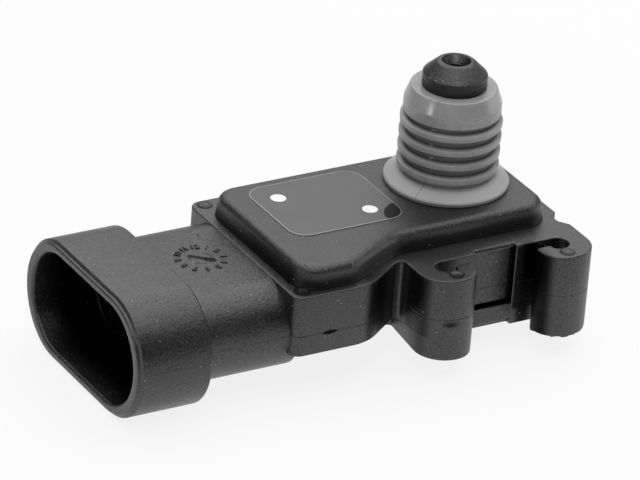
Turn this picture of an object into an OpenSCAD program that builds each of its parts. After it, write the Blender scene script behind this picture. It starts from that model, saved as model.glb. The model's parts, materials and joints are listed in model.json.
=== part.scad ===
// Manifold absolute pressure sensor: a moulded housing with a three-way plug socket at -X,
// two hooked lugs at -Y that slide onto a sheet bracket, and a bonded cover whose nozzle
// carries a ribbed rubber seal. The origin is on the nozzle's axis, at the cover's top face.
// +Z runs up the nozzle and -X points out of the plug socket's mouth. Sizes are millimetres.

/* [Nozzle] */
// Height of the nozzle's tip above the cover
nozzle_h = 17.5; // [16.5:0.1:20]
// Radius of the pressure passage
passage_r = 1; // [0.6:0.1:1.4]
// Radius of the countersink at the tip
countersink_r = 1.96; // [1.5:0.02:2.1]
// Depth of the countersink
countersink_depth = 1.1; // [0.5:0.1:2]
// Radius of the flat ring at the tip
tip_r = 2.4; // [2.2:0.1:3]
// Radius of the head that holds the seal down
head_r = 4.3; // [4:0.1:5]
// Height of the cone above the head
cone_h = 1.8; // [1:0.1:2.2]
// Radius of the stem inside the seal
stem_r = 3.3; // [2.6:0.1:3.6]

/* [Seal] */
// Height of the seal, from the cover to its top face
seal_h = 13.9; // [13:0.1:15]
// Radius of the seal's top face
seal_top_r = 5.75; // [5.2:0.05:6]
// Radius of the plain sealing band
band_r = 6.5; // [6.2:0.1:7]
// Height of the band's lower edge
band_z = 10.4; // [10.2:0.1:10.8]
// Height of the band
band_h = 1.5; // [1:0.1:2]
// Radius of the ribs
rib_r = 6.8; // [6.5:0.1:7.2]
// Radius at the bottom of the grooves
groove_r = 6.05; // [5.6:0.05:6.3]
// Number of ribs
rib_count = 4; // [2:1:4]
// Height of the top rib's upper edge
rib_z = 9.4; // [9.2:0.1:9.6]
// Distance from rib to rib
rib_pitch = 2.05; // [1.9:0.05:2.1]
// Height of one rib's outer face
rib_h = 0.75; // [0.5:0.05:1]
// Radius of the seal's foot
foot_r = 8.4; // [7.6:0.1:9]
// Height of the rim around the foot
foot_rim_h = 0.8; // [0.5:0.1:1]

/* [Cover] */
// Left edge of the cover's foot
cover_x0 = -30.85; // [-32:0.05:-30]
// Right edge of the cover's foot
cover_x1 = 9.95; // [9:0.05:10.5]
// Front edge of the cover's foot, along the wide left part
cover_y0 = -15.85; // [-16.2:0.05:-15]
// Front edge of the cover's foot, along the narrow right part
cover_y1 = -11.35; // [-12:0.05:-11]
// Back edge of the cover's foot
cover_y2 = 9.6; // [9.2:0.05:10.2]
// Height of the cover above the housing's flange
cover_h = 3; // [2.6:0.1:3.6]
// Wall of the cover
cover_wall = 1.6; // [1.2:0.1:1.8]
// Lean of the cover's sides
cover_draft = 0.25; // [0.1:0.05:0.5]
// Radius of the cover's rounded upper edge
cover_edge_r = 1.2; // [0.6:0.05:1.4]
// Corner radius of the cover's foot
cover_corner_r = 3.6; // [3:0.1:4.5]
// Radius of the two bends in the cover's front edge
cover_bend_r = 5.5; // [4:0.1:6]
// Where the wide part of the cover's front ends
cover_bend_x0 = -22.6; // [-23.5:0.1:-22]
// Where the narrow part of the cover's front starts
cover_bend_x1 = -14; // [-14.6:0.1:-13]

/* [Label] */
// Length of the label
label_len = 16.9; // [14:0.1:17.5]
// Width of the label
label_w = 14.4; // [12:0.1:15]
// Corner radius of the label
label_corner_r = 2.5; // [1:0.1:3]
// Thickness of the label
label_t = 0.12; // [0.08:0.02:0.3]
// Middle of the label, along X
label_x = -18.4; // [-18.8:0.1:-18]
// Radius of a paint mark
mark_r = 1.05; // [0.6:0.05:1.2]
// Distance between the two marks, along X
mark_pitch = 9.65; // [6:0.05:10]
// Distance between the two marks, along Y
mark_shift = 7.3; // [4:0.1:8]
// Thickness of a paint mark
mark_t = 0.05; // [0.04:0.01:0.1]

/* [Housing] */
// Left wall of the housing
body_x0 = -32.2; // [-33:0.1:-32]
// Front wall along the wide left part
body_y0 = -17; // [-17.6:0.1:-16.6]
// Front wall behind the lugs
body_y1 = -15; // [-15.3:0.1:-14.8]
// Back wall of the housing
body_y2 = 11.9; // [11.4:0.05:12.4]
// Height from the flange down to the underside of the wide part
side_h = 8.5; // [8:0.1:9]
// Height from the flange down to the lowest face
body_h = 11.7; // [11.2:0.1:12.4]
// Corner radius of the housing
body_corner_r = 1.6; // [1:0.1:2]
// Radius of the bend at the end of the wide part
body_bend_r = 7; // [5:0.5:8]

/* [Lugs] */
// Middle of the two lugs, along X
lug_x = -0.95; // [-1.1:0.05:-0.8]
// Distance from lug to lug
lug_pitch = 17.9; // [17.2:0.1:18]
// Middle of the lugs, along Y
lug_y = -16.65; // [-16.9:0.05:-16.4]
// Outer radius of a lug
lug_r = 4; // [3.8:0.1:4.1]
// Radius of the round end of a bracket slot
slot_end_r = 1.35; // [1:0.05:1.5]
// Width of a bracket slot
slot_w = 1.6; // [1.2:0.1:1.8]
// Width of the sunk panel between the lugs
panel_w = 6.1; // [5:0.1:7]
// Depth of the sunk panel
panel_depth = 0.8; // [0.4:0.1:1.2]
// Depth of the dip in the housing's right side
dip_depth = 1.1; // [0.6:0.1:1.4]
// Radius of that dip
dip_r = 2.1; // [1.8:0.1:2.6]

/* [Plug socket] */
// Mouth of the socket
mouth_x = -55.3; // [-57:0.1:-54]
// Length of the wide collar at the mouth
collar_len = 10.6; // [9:0.1:11.2]
// Width of the collar
collar_w = 31.4; // [30.4:0.1:32]
// Height of the collar
collar_h = 16.8; // [16.2:0.1:17.4]
// Wall of the collar along its two straight sides
collar_wall = 1.55; // [1.4:0.05:1.8]
// Wall of the collar at its two round ends
collar_end_wall = 2.1; // [1.8:0.1:2.3]
// Bevel around the mouth
mouth_bevel = 0.5; // [0.2:0.1:0.8]
// How far the neck is smaller than the collar, all round
neck_step = 2.3; // [2:0.05:2.5]
// How far the middle of the neck lies above the middle of the collar
neck_rise = 0.3; // [0.1:0.05:0.5]
// Wall of the neck
neck_wall = 1.6; // [1.4:0.1:2]
// Depth of the wide part of the socket
socket_depth = 9.3; // [8.6:0.1:9.6]
// Depth of the narrow part behind it
socket_tail = 10.5; // [9:0.1:12]
// Middle of the socket, along Y
socket_y = -2.7; // [-3:0.1:-2.4]
// Middle of the socket, along Z
socket_z = -9.5; // [-9.7:0.05:-9.3]

/* [Terminals] */
// Distance between the three terminals
terminal_pitch = 5; // [4.6:0.1:5.4]
// Width of a blade
blade_w = 1.5; // [1.2:0.1:1.8]
// Thickness of a blade
blade_t = 0.8; // [0.6:0.1:1]
// Length of the sharpened tip
blade_tip = 1.2; // [0.6:0.1:1.6]
// How far the tips stand forward of the socket's ledge
tip_reach = 0.4; // [0.1:0.1:0.6]
// Length of the pad inside the housing
pad_len = 2.6; // [2:0.1:3]
// Gap between a piece and the plastic or rubber around it
mould_gap = 0.02; // [0.01:0.01:0.05]

/* [Cavity] */
// Width of the housing's land outside the cover's tongue
land_w = 1.7; // [1.5:0.1:2]
// Depth of the rebate that takes the tongue
rebate_depth = 1.5; // [1.2:0.1:1.8]
// Width of the rebate
rebate_w = 1.2; // [1:0.1:1.4]
// Thickness of the sealant around and under the tongue
sealant_t = 0.2; // [0.1:0.05:0.3]
// Depth from the flange to the shelf that carries the circuit board
shelf_depth = 7.6; // [7.2:0.1:7.8]
// Depth from the flange to the floor under the board
floor_depth = 10; // [9.6:0.1:10.2]
// Corner radius of the cavity
cavity_corner_r = 2; // [1.2:0.1:2.4]

/* [Circuit board] */
// Gap between the terminals' pads and the board, which the lead wires span
board_wire_gap = 3.35; // [2.4:0.05:4]
// Gap between the board and the cavity's end wall
board_end_gap = 2.05; // [1.4:0.05:2.6]
// Gap between the board and the cavity's long walls
board_side_gap = 1.2; // [0.6:0.1:2]
// Thickness of the ceramic board
board_t = 0.65; // [0.5:0.05:0.8]
// Thickness of the adhesive under it
glue_t = 0.15; // [0.1:0.05:0.2]
// Width of each shelf under the board's ends
shelf_w = 2.5; // [2:0.1:3]
// Distance from the foot of a lead wire to the board's end or the pad's end
wire_foot = 0.8; // [0.5:0.1:1.2]
// Side of the pressure die
die_w = 2.4; // [2:0.1:3]
// Thickness of the pressure die
die_t = 0.4; // [0.3:0.05:0.5]
// Thickness of the glass base under the die
glass_t = 1; // [0.6:0.1:1.2]
// Distance from the die to the foot of its bond wires
die_wire_foot = 0.7; // [0.5:0.05:1]
// Outside of the ring that holds the gel
dam_w = 8; // [7.6:0.1:8.6]
// Wall of that ring
dam_wall = 0.8; // [0.6:0.1:1]
// Height of that ring
dam_h = 2.4; // [2.2:0.1:3]
// Depth of the gel in it
gel_h = 2.1; // [2:0.05:2.2]
// Radius of a bond wire between board and terminal
lead_wire_r = 0.15; // [0.1:0.01:0.2]
// Radius of a bond wire between die and board
die_wire_r = 0.06; // [0.04:0.01:0.08]

/* [Chips on the board] */
// Gap between the gel's ring and the signal chip
chip_gap = 1.5; // [0.6:0.1:2.4]
// Length of the signal chip
chip_l = 4.9; // [4:0.1:5]
// Width of the signal chip
chip_w = 3.9; // [3:0.1:6]
// Height of the signal chip
chip_h = 1.3; // [0.8:0.1:1.8]
// Distance from the board's left end to the capacitors
parts_reach = 3.5; // [2.6:0.1:4]
// Distance between the capacitors
parts_pitch = 4; // [2:0.1:4.5]
// Length of a capacitor
capacitor_l = 2; // [1.6:0.1:2.4]
// Width of a capacitor
capacitor_w = 1.25; // [0.8:0.05:1.6]
// Height of a capacitor
capacitor_h = 1; // [0.6:0.1:1.4]
// Gap between the capacitors and the trimmed resistors
resistor_gap = 1.9; // [0.8:0.1:2.4]
// Distance between the resistors
resistor_pitch = 2.6; // [1.8:0.1:3]
// Length of a resistor
resistor_l = 2.2; // [1.6:0.1:2.6]
// Width of a resistor
resistor_w = 1.2; // [0.8:0.1:1.6]
// Thickness of the resistors' film
film_t = 0.06; // [0.04:0.01:0.1]

/* [Hidden] */
$fn = 64;

// Heights that several pieces share
flange_z = -cover_h;
side_z = flange_z - side_h;
bottom_z = flange_z - body_h;
shelf_z = flange_z - shelf_depth;
floor_z = flange_z - floor_depth;
rebate_z = flange_z - rebate_depth;
tongue_z = rebate_z + sealant_t;
neck_z = socket_z + neck_rise;
blade_z0 = neck_z - blade_t / 2;
board_z0 = shelf_z + glue_t;
board_z1 = board_z0 + board_t;
die_z = board_z1 + glass_t;

// Lugs: the outer sides are flush with the housing's right wall
lug_x0 = lug_x - lug_pitch / 2;
lug_x1 = lug_x + lug_pitch / 2;
body_x1 = lug_x1 + lug_r;
slot_end_shift = 0.3;
slot_end_y = lug_y + 0.2;

// Rebate and cavity, as seen from above
rebate_x0 = cover_x0 + land_w;
rebate_x1 = cover_x1 - land_w;
rebate_y0 = cover_y1 + land_w;
rebate_y1 = cover_y2 - land_w;
cavity_x0 = rebate_x0 + rebate_w;
cavity_x1 = rebate_x1 - rebate_w;
cavity_y0 = rebate_y0 + rebate_w;
cavity_y1 = rebate_y1 - rebate_w;

// Board, between the terminals' pads and the cavity's end wall
pad_x1 = cavity_x0 + pad_len;
board_x0 = pad_x1 + board_wire_gap;
board_x1 = cavity_x1 - board_end_gap;
board_len = board_x1 - board_x0;
board_w = cavity_y1 - cavity_y0 - 2 * board_side_gap;
board_y0 = cavity_y0 + board_side_gap;
board_y = board_y0 + board_w / 2;
chip_x = -dam_w / 2 - chip_gap - chip_l / 2;
parts_x = board_x0 + parts_reach + capacitor_l / 2;
resistor_x = parts_x + capacitor_l / 2 + resistor_gap + resistor_l / 2;

// Socket, from the mouth inwards
collar_x1 = mouth_x + collar_len;
ledge_x = mouth_x + socket_depth;
socket_end_x = ledge_x + socket_tail;
tip_x = ledge_x - tip_reach;
neck_w = collar_w - 2 * neck_step;
neck_h = collar_h - 2 * neck_step;

// Waist between the housing's wide part and the left lug, and the outline below it
waist_x = lug_x0 - lug_r;
waist_y = -12.85;
waist_w = 1.1;
waist_r = 0.5;
bend_x = -20.9;
deep_inset = 1;
deep_y0 = -9;
deep_x = waist_x + 1.3;

// Dip in the right side and notch under the sunk panel
dip_y = -10.6;
panel_base_z = side_z;
notch_h = 0.85;
notch_w = panel_w + 1.3;
notch_depth = 1.4;

// A corner is [x, y, radius]. The functions below round a closed outline of corners, listed
// counter-clockwise, and shrink it by an inset.
arc_steps = 8;
function unit(v) = v / norm(v);
function cross2(a, b) = a[0] * b[1] - a[1] * b[0];
function xy(p) = [p[0], p[1]];
function before(c, i) = c[(i + len(c) - 1) % len(c)];
function after(c, i) = c[(i + 1) % len(c)];
function to_before(c, i) = unit(xy(before(c, i)) - xy(c[i]));
function to_after(c, i) = unit(xy(after(c, i)) - xy(c[i]));
function turn(c, i) = cross2(-to_before(c, i), to_after(c, i)) >= 0 ? 1 : -1;
function half_angle(c, i) = acos(to_before(c, i) * to_after(c, i)) / 2;
function bisector(c, i) = unit(to_before(c, i) + to_after(c, i));
function shrink(c, d) = [for (i = [0 : len(c) - 1])
    let (p = xy(c[i]) + bisector(c, i) * turn(c, i) * d / sin(half_angle(c, i)))
    [p[0], p[1], max(0.05, c[i][2] - turn(c, i) * d)]];
function arc_at(c, i) =
    let (h = half_angle(c, i), r = c[i][2])
    let (centre = xy(c[i]) + bisector(c, i) * r / sin(h))
    let (a0 = xy(c[i]) + to_before(c, i) * r / tan(h) - centre)
    let (start = atan2(a0[1], a0[0]), sweep = turn(c, i) * (180 - 2 * h))
    [for (k = [0 : arc_steps]) centre + r * [cos(start + sweep * k / arc_steps),
        sin(start + sweep * k / arc_steps)]];
function rounded(c) = [for (i = [0 : len(c) - 1]) each arc_at(c, i)];
function box_corners(x0, y0, x1, y1, r) = [[x0, y0, r], [x1, y0, r], [x1, y1, r], [x0, y1, r]];

cover_corners = [[cover_x0, cover_y0, cover_corner_r], [cover_bend_x0, cover_y0, cover_bend_r],
    [cover_bend_x1, cover_y1, cover_bend_r], [cover_x1, cover_y1, cover_corner_r],
    [cover_x1, cover_y2, cover_corner_r], [cover_x0, cover_y2, cover_corner_r]];
side_corners = [[body_x0, body_y0, body_corner_r], [bend_x, body_y0, body_bend_r],
    [waist_x - waist_w, waist_y, waist_r], [waist_x, waist_y, waist_r],
    [waist_x, lug_y, 0.05], [lug_x0, lug_y, 0.05], [lug_x0, body_y1, 0.05],
    [lug_x1, body_y1, 0.05], [lug_x1, lug_y, 0.05], [body_x1, lug_y, 0.05],
    [body_x1, body_y2, body_corner_r], [body_x0, body_y2, body_corner_r]];
deep_corners = [[body_x0 + deep_inset, deep_y0, body_corner_r], [deep_x, deep_y0, 0.5],
    [waist_x, lug_y, 0.05], [lug_x0, lug_y, 0.05], [lug_x0, body_y1, 0.05],
    [lug_x1, body_y1, 0.05], [lug_x1, lug_y, 0.05], [body_x1, lug_y, 0.05],
    [body_x1, body_y2 - deep_inset, body_corner_r],
    [body_x0 + deep_inset, body_y2 - deep_inset, body_corner_r]];
rebate_corners = box_corners(rebate_x0, rebate_y0, rebate_x1, rebate_y1,
    cavity_corner_r + rebate_w);

// A closed skin through outlines of equal length, given as [height, points]
module loft(rings) {
    n = len(rings[0][1]);
    m = len(rings);
    points = [for (ring = rings) for (p = ring[1]) [p[0], p[1], ring[0]]];
    sides = [for (j = [0 : m - 2]) for (i = [0 : n - 1])
        [j * n + i, (j + 1) * n + i, (j + 1) * n + (i + 1) % n, j * n + (i + 1) % n]];
    bottom = [for (i = [0 : n - 1]) i];
    top = [for (i = [n - 1 : -1 : 0]) (m - 1) * n + i];
    polyhedron(points, concat(sides, [bottom, top]), convexity = 4);
}

module slab(corners, z0, z1) {
    translate([0, 0, z0]) linear_extrude(z1 - z0) polygon(rounded(corners));
}

// A shape with two full-round ends, swept from a half profile of [radius, depth] points:
// its axis is X, its ends lie along Y, and depth counts from x = 0
module race(straight, profile) {
    for (side = [-1, 1]) translate([0, side * straight / 2, 0])
        rotate([0, 90, 0]) rotate_extrude() polygon(profile);
    if (straight > 0) translate([0, straight / 2, 0]) rotate([90, 0, 0])
        linear_extrude(straight) for (side = [0, 1]) mirror([0, side])
            polygon([for (p = profile) [p[1], p[0]]]);
}

module race_block(x0, x1, w, h, z) {
    translate([x0, socket_y, z])
        race(w - h, [[0, 0], [h / 2, 0], [h / 2, x1 - x0], [0, x1 - x0]]);
}

module lugs() {
    for (x = [lug_x0, lug_x1]) translate([x, lug_y, bottom_z])
        cylinder(h = body_h, r = lug_r);
}

// Cuts that run down through the lugs: the bracket slots and the dip in the right side
module upright_cuts() {
    translate([0, 0, bottom_z - 1]) linear_extrude(body_h + 2) {
        for (side = [-1, 1]) {
            end_x = lug_x + side * (lug_pitch / 2 - slot_end_shift);
            mouth = lug_x + side * (lug_pitch / 2 - lug_r - 1);
            translate([end_x, slot_end_y]) circle(slot_end_r);
            translate([min(end_x, mouth), body_y1 - slot_w]) square([abs(end_x - mouth), slot_w]);
        }
        translate([body_x1 - dip_depth + dip_r, dip_y]) circle(dip_r);
    }
}

module housing_outside() {
    slab(side_corners, side_z, flange_z);
    slab(deep_corners, bottom_z, flange_z);
    lugs();
    translate([mouth_x, socket_y, socket_z]) race(collar_w - collar_h,
        [[0, 0], [collar_h / 2 - mouth_bevel, 0], [collar_h / 2, mouth_bevel],
        [collar_h / 2, collar_len], [0, collar_len]]);
    race_block(collar_x1 - 1, body_x0 + 2, neck_w, neck_h, neck_z);
}

module socket_hollow() {
    race_block(mouth_x - 1, ledge_x, collar_w - 2 * collar_end_wall,
        collar_h - 2 * collar_wall, socket_z);
    race_block(ledge_x - 1, socket_end_x, neck_w - 2 * neck_wall, neck_h - 2 * neck_wall, neck_z);
}

module inside_cavity() {
    slab(rebate_corners, rebate_z, flange_z + 1);
    difference() {
        slab(shrink(rebate_corners, rebate_w), shelf_z, flange_z + 1);
        translate([cavity_x0 - 1, cavity_y0 - 1, shelf_z - 1])
            cube([pad_len + 1, cavity_y1 - cavity_y0 + 2, blade_z0 - mould_gap - shelf_z + 1]);
    }
    translate([board_x0 + shelf_w, board_y0 + shelf_w, floor_z])
        cube([board_len - 2 * shelf_w, board_w - 2 * shelf_w, shelf_z - floor_z + 1]);
}

module housing() {
    color([0.13, 0.13, 0.13]) difference() {
        housing_outside();
        upright_cuts();
        socket_hollow();
        inside_cavity();
        terminal_slots();
        translate([lug_x - panel_w / 2, body_y1 - 1, panel_base_z])
            cube([panel_w, panel_depth + 1, flange_z - panel_base_z + 1]);
        translate([lug_x - notch_w / 2, body_y1 - 1, bottom_z - 1])
            cube([notch_w, notch_depth + 1, notch_h + 1]);
    }
}

module cover() {
    edge = [for (a = [0 : 18 : 90]) [cover_edge_r * (sin(a) - 1),
        rounded(shrink(cover_corners, cover_draft + cover_edge_r * (1 - cos(a))))]];
    color([0.17, 0.17, 0.17]) difference() {
        union() {
            loft(concat([[flange_z, rounded(cover_corners)]], edge));
            slab(shrink(rebate_corners, sealant_t), tongue_z, flange_z + 0.5);
            rotate_extrude() polygon([[0, -cover_wall / 2], [stem_r, -cover_wall / 2],
                [stem_r, seal_h], [head_r, seal_h], [head_r, nozzle_h - cone_h],
                [tip_r, nozzle_h], [0, nozzle_h]]);
        }
        slab(shrink(rebate_corners, rebate_w), tongue_z - 1, -cover_wall);
        rotate_extrude() polygon([[0, -cover_wall - 1], [passage_r, -cover_wall - 1],
            [passage_r, nozzle_h - countersink_depth], [countersink_r, nozzle_h],
            [countersink_r, nozzle_h + 1], [0, nozzle_h + 1]]);
    }
}

module cover_sealant() {
    color([0.3, 0.3, 0.32]) difference() {
        slab(rebate_corners, rebate_z, flange_z);
        slab(shrink(rebate_corners, sealant_t), tongue_z, flange_z + 1);
        slab(shrink(rebate_corners, rebate_w), rebate_z - 1, flange_z + 1);
    }
}

module port_seal() {
    half_gap = (rib_pitch - rib_h) / 2;
    last_z = rib_z - (rib_count - 1) * rib_pitch - rib_h;
    ribs = [for (i = [0 : rib_count - 1]) let (z = rib_z - i * rib_pitch)
        each [[groove_r, z + half_gap * 0.6], [rib_r, z], [rib_r, z - rib_h],
            [groove_r, z - rib_h - half_gap * 0.4]]];
    color([0.42, 0.42, 0.42]) rotate_extrude() polygon(concat(
        [[stem_r + mould_gap, 0], [stem_r + mould_gap, seal_h], [seal_top_r, seal_h],
        [band_r, band_z + band_h], [band_r, band_z]],
        ribs,
        [[groove_r, last_z - half_gap], [foot_r, foot_rim_h], [foot_r, 0]]));
}

module label() {
    color([0.2, 0.2, 0.2]) slab(box_corners(label_x - label_len / 2, -label_w / 2,
        label_x + label_len / 2, label_w / 2, label_corner_r), 0, label_t);
}

module paint_marks() {
    color("white") for (side = [-1, 1])
        translate([label_x - 0.3 + side * mark_pitch / 2, -0.2 - side * mark_shift / 2, label_t])
            cylinder(h = mark_t, r = mark_r);
}

// A blade with a sharpened tip, in the row given by -1, 0 or 1
module terminal(row) {
    half = blade_w / 2;
    color([0.75, 0.75, 0.72]) translate([0, socket_y + row * terminal_pitch, blade_z0])
        linear_extrude(blade_t) polygon([[tip_x, -half / 2], [tip_x + blade_tip, -half],
            [pad_x1, -half], [pad_x1, half], [tip_x + blade_tip, half], [tip_x, half / 2]]);
}

module terminal_slots() {
    for (row = [-1 : 1])
        translate([socket_end_x - 1, socket_y + row * terminal_pitch - blade_w / 2 - mould_gap,
            blade_z0 - mould_gap])
            cube([pad_x1 + mould_gap - socket_end_x + 1, blade_w + 2 * mould_gap,
                blade_t + 2 * mould_gap]);
}

module terminal_a() { terminal(-1); }
module terminal_b() { terminal(0); }
module terminal_c() { terminal(1); }

module circuit_board() {
    color([0.9, 0.9, 0.86]) translate([board_x0, board_y0, board_z0])
        cube([board_len, board_w, board_t]);
}

module board_adhesive() {
    color([0.5, 0.5, 0.55]) difference() {
        translate([board_x0, board_y0, shelf_z]) cube([board_len, board_w, glue_t]);
        translate([board_x0 + shelf_w, board_y0 + shelf_w, shelf_z - 1])
            cube([board_len - 2 * shelf_w, board_w - 2 * shelf_w, glue_t + 2]);
    }
}

// A bond wire in the XZ plane: a half ring from a high foot to a low one, with a straight leg
module bond_wire(x_high, z_high, x_low, z_low, y, r) {
    reach = abs(x_low - x_high) / 2;
    translate([(x_high + x_low) / 2, y, z_high]) rotate([90, 0, 0])
        rotate_extrude(angle = 180) translate([reach, 0]) circle(r, $fn = 16);
    translate([x_low, y, z_low]) cylinder(h = z_high - z_low, r = r, $fn = 16);
}

module lead_wires() {
    color([0.8, 0.8, 0.8]) for (k = [-1 : 1])
        bond_wire(pad_x1 - wire_foot, blade_z0 + blade_t, board_x0 + wire_foot, board_z1,
            socket_y + k * terminal_pitch, lead_wire_r);
}

module glass_base() {
    color([0.8, 0.9, 0.85]) translate([-die_w / 2, -die_w / 2, board_z1])
        cube([die_w, die_w, glass_t]);
}

module pressure_die() {
    color([0.35, 0.38, 0.45]) translate([-die_w / 2, -die_w / 2, die_z])
        cube([die_w, die_w, die_t]);
}

module die_wires_in_place(r) {
    for (side = [-1, 1]) for (row = [-1, 1])
        bond_wire(side * (die_w / 2 - die_wire_foot / 2), die_z + die_t,
            side * (die_w / 2 + die_wire_foot),
            board_z1, row * die_w / 4, r);
}

module die_wires() { color("gold") die_wires_in_place(die_wire_r); }

module gel_dam() {
    color([0.15, 0.15, 0.16]) translate([0, 0, board_z1]) difference() {
        translate([-dam_w / 2, -dam_w / 2, 0]) cube([dam_w, dam_w, dam_h]);
        translate([dam_wall - dam_w / 2, dam_wall - dam_w / 2, -1])
            cube([dam_w - 2 * dam_wall, dam_w - 2 * dam_wall, dam_h + 2]);
    }
}

module gel_fill() {
    inner_w = dam_w - 2 * dam_wall;
    color([0.85, 0.85, 0.9, 0.4]) difference() {
        translate([-inner_w / 2, -inner_w / 2, board_z1]) cube([inner_w, inner_w, gel_h]);
        translate([-die_w / 2, -die_w / 2, board_z1 - 1])
            cube([die_w, die_w, glass_t + die_t + 1]);
        die_wires_in_place(die_wire_r + mould_gap);
    }
}

// A small block on the board, given by its middle, length, width and height
module board_part(x, y, l, w, h) {
    translate([x - l / 2, y - w / 2, board_z1]) cube([l, w, h]);
}

module signal_chip() {
    color([0.1, 0.1, 0.1]) board_part(chip_x, board_y, chip_l, chip_w, chip_h);
}

module capacitor(row) {
    color([0.7, 0.6, 0.45]) board_part(parts_x, board_y + row * parts_pitch, capacitor_l,
        capacitor_w, capacitor_h);
}

module supply_capacitor() { capacitor(-1); }
module output_capacitor() { capacitor(0); }
module filter_capacitor() { capacitor(1); }

module trim_resistors() {
    color([0.1, 0.12, 0.1]) for (row = [-1.5 : 1 : 1.5])
        board_part(resistor_x, board_y + row * resistor_pitch, resistor_l, resistor_w, film_t);
}

housing();
cover();
cover_sealant();
port_seal();
label();
paint_marks();
terminal_a();
terminal_b();
terminal_c();
circuit_board();
board_adhesive();
lead_wires();
glass_base();
pressure_die();
die_wires();
gel_dam();
gel_fill();
signal_chip();
supply_capacitor();
output_capacitor();
filter_capacitor();
trim_resistors();
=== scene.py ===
"""Dresses the pressure sensor: housing, cover, seal, label, moulded marks, finishes and stage."""
import json
import math

import bpy
import numpy as np
from bpy.props import FloatProperty, FloatVectorProperty, IntProperty, PointerProperty
from mathutils import Matrix, Vector


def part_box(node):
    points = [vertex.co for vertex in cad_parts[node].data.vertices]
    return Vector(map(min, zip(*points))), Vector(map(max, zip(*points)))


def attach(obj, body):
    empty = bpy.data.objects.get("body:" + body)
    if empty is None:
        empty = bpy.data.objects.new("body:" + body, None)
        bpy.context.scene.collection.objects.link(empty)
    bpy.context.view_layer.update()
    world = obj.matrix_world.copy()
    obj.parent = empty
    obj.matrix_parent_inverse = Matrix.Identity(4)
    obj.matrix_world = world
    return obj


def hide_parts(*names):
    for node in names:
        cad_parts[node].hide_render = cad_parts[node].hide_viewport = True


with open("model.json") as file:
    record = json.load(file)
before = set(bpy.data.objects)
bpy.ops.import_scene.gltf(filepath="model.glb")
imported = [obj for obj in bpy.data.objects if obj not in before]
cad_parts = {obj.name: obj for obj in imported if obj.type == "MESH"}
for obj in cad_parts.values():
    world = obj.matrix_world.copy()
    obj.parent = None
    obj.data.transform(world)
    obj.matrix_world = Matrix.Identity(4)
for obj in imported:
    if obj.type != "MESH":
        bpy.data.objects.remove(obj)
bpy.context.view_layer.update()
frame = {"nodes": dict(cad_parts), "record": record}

bl_info = {
    "name": "Pressure sensor looks",
    "version": (1, 0, 0),
    "blender": (4, 5, 0),
    "location": "View3D > Sidebar > Sensor",
    "description": "Builds the moulded surfaces and finishes of a manifold pressure sensor",
    "category": "Object",
}

MM = 0.001
BLACK = (0.0, 0.0, 0.0, 1.0)
WHITE = (1.0, 1.0, 1.0, 1.0)
HOUSING_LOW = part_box("housing")[0]
COVER_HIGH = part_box("cover")[1]
SEAL_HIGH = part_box("port_seal")[1]
LABEL_LOW, LABEL_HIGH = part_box("label")


def length(name, mm, text=""):
    """A size that a user can change, given here in mm and kept in metres."""
    return FloatProperty(name=name, default=mm * MM, description=text, unit="LENGTH", precision=5)


def angle(name, degrees, text):
    """An angle that a user can change, given here in degrees."""
    return FloatProperty(name=name, default=math.radians(degrees), description=text,
                         subtype="ANGLE")


def colour(name, value):
    """A colour that a user can change."""
    return FloatVectorProperty(name=name, size=3, subtype="COLOR", default=value, min=0, max=1)


class HousingSizes(bpy.types.PropertyGroup):
    body_x0: length("Left wall", -32.2)
    body_y0: length("Front wall", -17, "Front wall along the wide left part")
    lug_wall_y: length("Wall between the lugs", -15)
    body_y2: length("Back wall", 11.9)
    flange_z: length("Flange", -3, "Height of the flange that carries the cover")
    side_h: length("Side height", 8.5, "From the flange to the underside of the wide part")
    body_h: length("Body height", 11.7, "From the flange to the lowest face")
    bend_x: length("Bend", -20.9, "Where the wide part of the front wall ends")
    waist_y: length("Waist", -12.85, "Bottom of the valley beside the left lug")
    lug_x: length("Lugs' middle", -0.95)
    lug_pitch: length("Lug pitch", 17.9, "Distance from lug to lug")
    lug_y: length("Lug depth", -16.65, "Middle of the lugs, front to back")
    lug_r: length("Lug radius", 4)
    slot_r: length("Slot end radius", 1.35)
    slot_w: length("Bracket slot's width", 1.6)
    panel_w: length("Sunk panel's width", 6.1)
    panel_d: length("Sunk panel's depth", 0.8)
    dip_y: length("Dip", -10.6, "Middle of the dip in the right side")
    dip_d: length("Dip depth", 1.1)
    edge_r: length("Edge radius", 0.18, "Rounding of the moulding's edges")
    parting_z: length("Parting line's height", -8.65)


class SocketSizes(bpy.types.PropertyGroup):
    collar_len: length("Collar length", 10.6)
    collar_w: length("Collar width", 31.4)
    collar_h: length("Collar height", 16.8)
    wall: length("Collar wall", 1.55, "Wall of the collar along its straight sides")
    end_wall: length("End wall", 2.1, "Wall of the collar at its round ends")
    neck_step: length("Neck step", 2.3, "How far the neck is smaller than the collar")
    neck_wall: length("Neck wall", 1.6)
    depth: length("Socket depth", 9.3, "Depth of the wide part of the socket")
    tail: length("Socket tail", 10.5, "Depth of the narrow part behind it")
    middle_y: length("Middle, front to back", -2.7)
    middle_z: length("Middle of the collar's height", -9.5)
    neck_rise: length("Neck rise", 0.3, "How far the neck's middle lies above the collar's")
    wheel_x: length("Date wheel, X", -37.9)
    wheel_y: length("Date wheel, Y", -2.1)
    wheel_turn: angle("Wheel turn", 48, "Where the date wheel's first numeral stands")
    arrow_turn: angle("Arrow turn", -42, "Where the date wheel's arrow points")


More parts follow.
